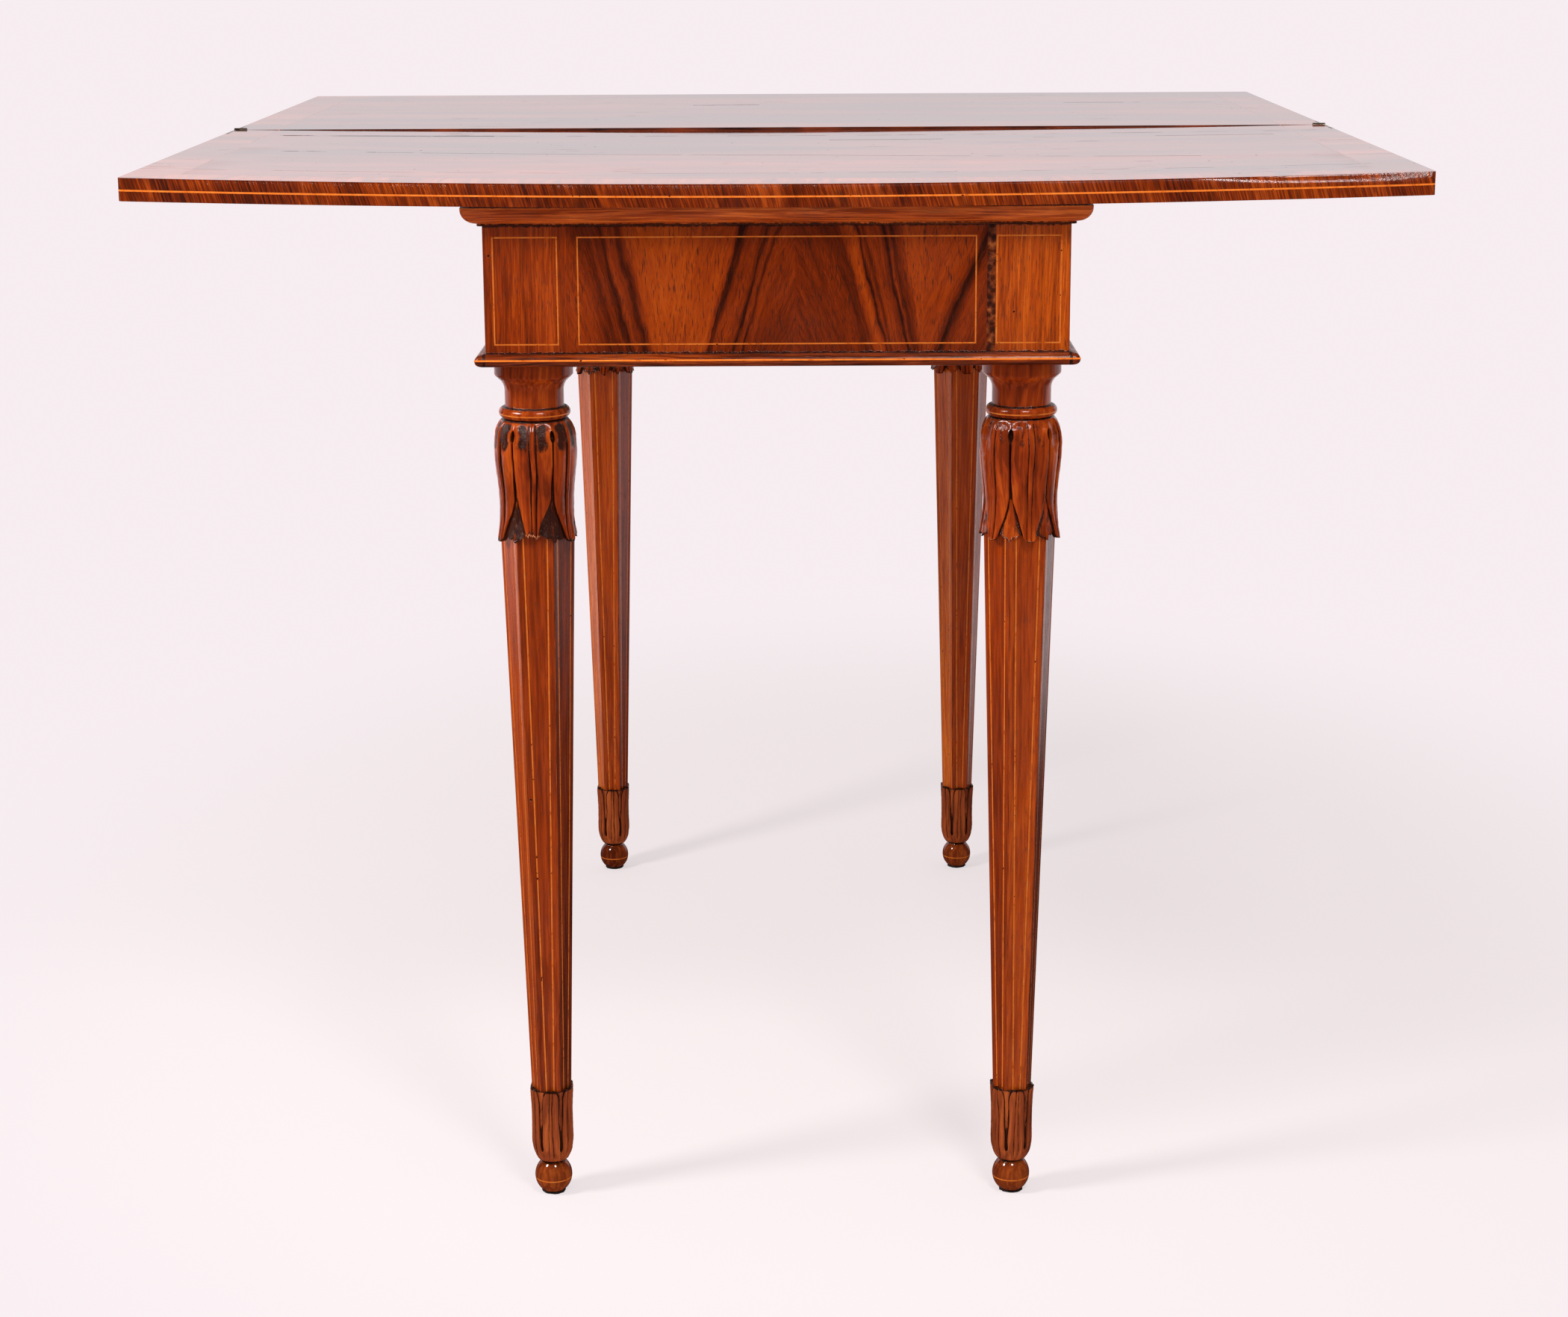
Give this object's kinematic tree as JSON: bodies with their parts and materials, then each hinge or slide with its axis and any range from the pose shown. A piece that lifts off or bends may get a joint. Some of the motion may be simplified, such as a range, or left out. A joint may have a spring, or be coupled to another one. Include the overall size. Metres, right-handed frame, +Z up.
{
  "type": "fold-over card table",
  "caption": "Fold-over card table: a hinged leaf top that turns on a string-inlaid frame, on tapered faceted legs with carved capitals, carved foot cups and ball feet.",
  "frame": {"origin": "on the floor, under the middle of the frame and of the open top", "axes": "+Z up, +X along the hinge line to the right, +Y away from the front"},
  "size_m": [0.9, 0.9, 0.7707],
  "materials": {
    "leaf_walnut": "french-polished walnut veneer",
    "crossband_walnut": "polished cross-grained walnut",
    "boxwood_string": "polished boxwood inlay",
    "panel_walnut": "polished figured walnut veneer",
    "post_walnut": "polished straight-grained walnut",
    "moulding_walnut": "polished walnut moulding",
    "burr_veneer": "polished dark burr walnut",
    "carved_walnut": "carved and polished walnut",
    "shaft_walnut": "polished straight-grained walnut",
    "ball_walnut": "turned and polished walnut",
    "inner_oak": "unpolished oak",
    "hinge_brass": "aged brass",
    "pivot_iron": "dark wrought iron",
    "foot_felt": "worn dark felt"
  },
  "bodies": {
    "base": {"frame_stringing": "boxwood_string", "moulding_stringing": "boxwood_string", "leg_stringing": "boxwood_string", "apron_front": "panel_walnut", "apron_rear": "panel_walnut", "apron_left": "panel_walnut", "apron_right": "panel_walnut", "post_front_left": "post_walnut", "post_front_right": "post_walnut", "post_rear_left": "post_walnut", "post_rear_right": "post_walnut", "top_moulding_front": "moulding_walnut", "top_moulding_rear": "moulding_walnut", "top_moulding_left": "moulding_walnut", "top_moulding_right": "moulding_walnut", "bottom_moulding_front": "moulding_walnut", "bottom_moulding_rear": "moulding_walnut", "bottom_moulding_left": "moulding_walnut", "bottom_moulding_right": "moulding_walnut", "veneer_patch": "burr_veneer", "capital_front_left": "carved_walnut", "capital_front_right": "carved_walnut", "capital_rear_left": "carved_walnut", "capital_rear_right": "carved_walnut", "foot_cup_front_left": "carved_walnut", "foot_cup_front_right": "carved_walnut", "foot_cup_rear_left": "carved_walnut", "foot_cup_rear_right": "carved_walnut", "shaft_front_left": "shaft_walnut", "shaft_front_right": "shaft_walnut", "shaft_rear_left": "shaft_walnut", "shaft_rear_right": "shaft_walnut", "ball_foot_front_left": "ball_walnut", "ball_foot_front_right": "ball_walnut", "ball_foot_rear_left": "ball_walnut", "ball_foot_rear_right": "ball_walnut", "well_board": "inner_oak", "pivot_rail": "inner_oak", "glue_blocks": "inner_oak", "leg_dowels": "inner_oak", "foot_pads": "foot_felt"},
    "swivelling_top": {"fixed_leaf": "leaf_walnut", "fixed_leaf_banding": "crossband_walnut", "fixed_leaf_stringing": "boxwood_string", "fixed_hinge_plate_left": "hinge_brass", "fixed_hinge_plate_right": "hinge_brass", "fixed_hinge_screws": "hinge_brass", "hinge_pins": "pivot_iron", "pivot_stud": "pivot_iron", "pivot_screws": "pivot_iron", "pivot_washer": "pivot_iron", "pivot_nut": "pivot_iron", "stop_peg": "inner_oak"},
    "folding_top": {"folding_leaf": "leaf_walnut", "folding_leaf_banding": "crossband_walnut", "folding_leaf_stringing": "boxwood_string", "folding_hinge_plate_left": "hinge_brass", "folding_hinge_plate_right": "hinge_brass", "folding_hinge_screws": "hinge_brass"}
  },
  "joints": [
    {"name": "swivel", "type": "hinge", "parent": "base", "child": "swivelling_top", "pos_m": [-0.1125, -0.1125, 0.7457], "axis": [0, 0, 1], "range_deg": [0, 90]},
    {"name": "fold", "type": "hinge", "parent": "swivelling_top", "child": "folding_top", "pos_m": [0, 0, 0.76815], "axis": [1, 0, 0], "range_deg": [0, 180]}
  ]
}
